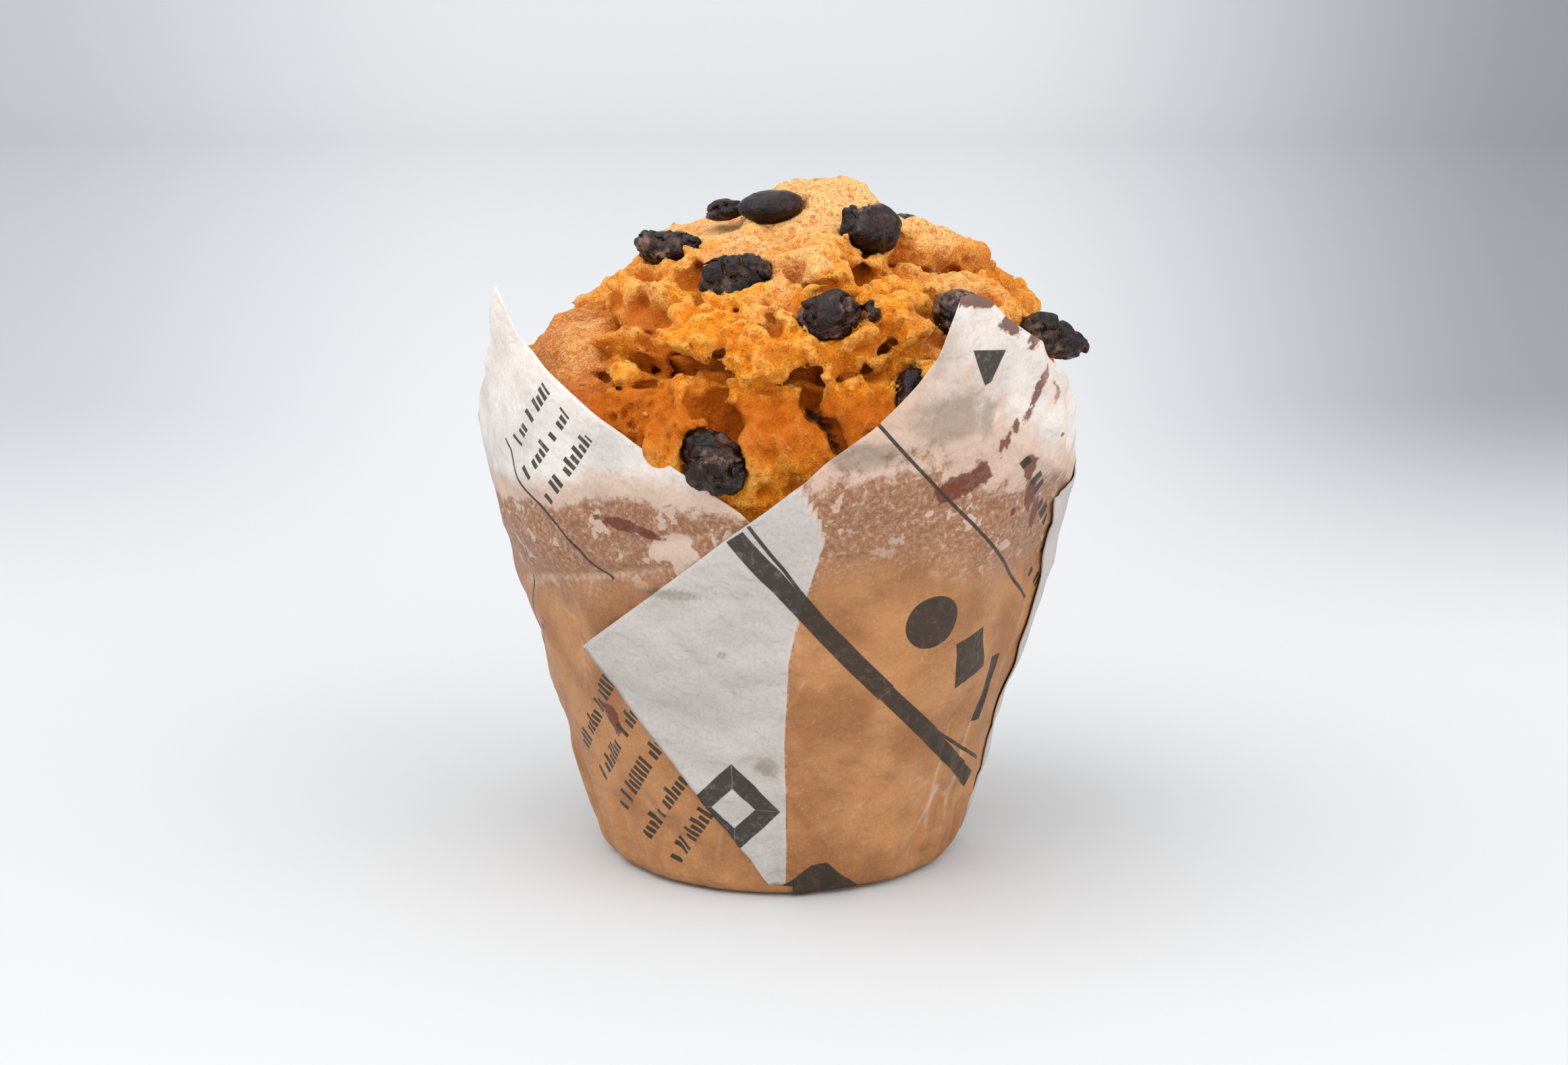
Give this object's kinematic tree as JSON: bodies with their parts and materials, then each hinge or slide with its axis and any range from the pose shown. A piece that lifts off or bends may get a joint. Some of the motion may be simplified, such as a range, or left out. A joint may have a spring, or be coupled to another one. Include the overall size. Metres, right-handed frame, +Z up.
{
  "type": "chocolate chip muffin in a tulip paper case",
  "caption": "Domed muffin with a cracked golden top and chocolate chips, baked in a folded square of printed greaseproof paper whose corners stand up as petals.",
  "frame": {"origin": "middle of the round foot of the paper case, on the surface it stands on", "axes": "+Z up along the case's axis, -Y towards the front, where the picture was taken from"},
  "size_m": [0.0869, 0.0873, 0.0983],
  "materials": {
    "crumb": "matte",
    "paper": "satin",
    "chocolate": "semi-gloss"
  },
  "bodies": {
    "root": {"crumb": "crumb", "paper_case": "paper", "chip_01": "chocolate", "chip_02": "chocolate", "chip_03": "chocolate", "chip_04": "chocolate", "chip_05": "chocolate", "chip_06": "chocolate", "chip_07": "chocolate", "chip_08": "chocolate", "chip_09": "chocolate", "chip_10": "chocolate", "chip_11": "chocolate", "chip_12": "chocolate", "chip_13": "chocolate", "chip_14": "chocolate", "chip_15": "chocolate", "chip_16": "chocolate", "chip_17": "chocolate", "chip_18": "chocolate", "chip_19": "chocolate"}
  },
  "joints": []
}
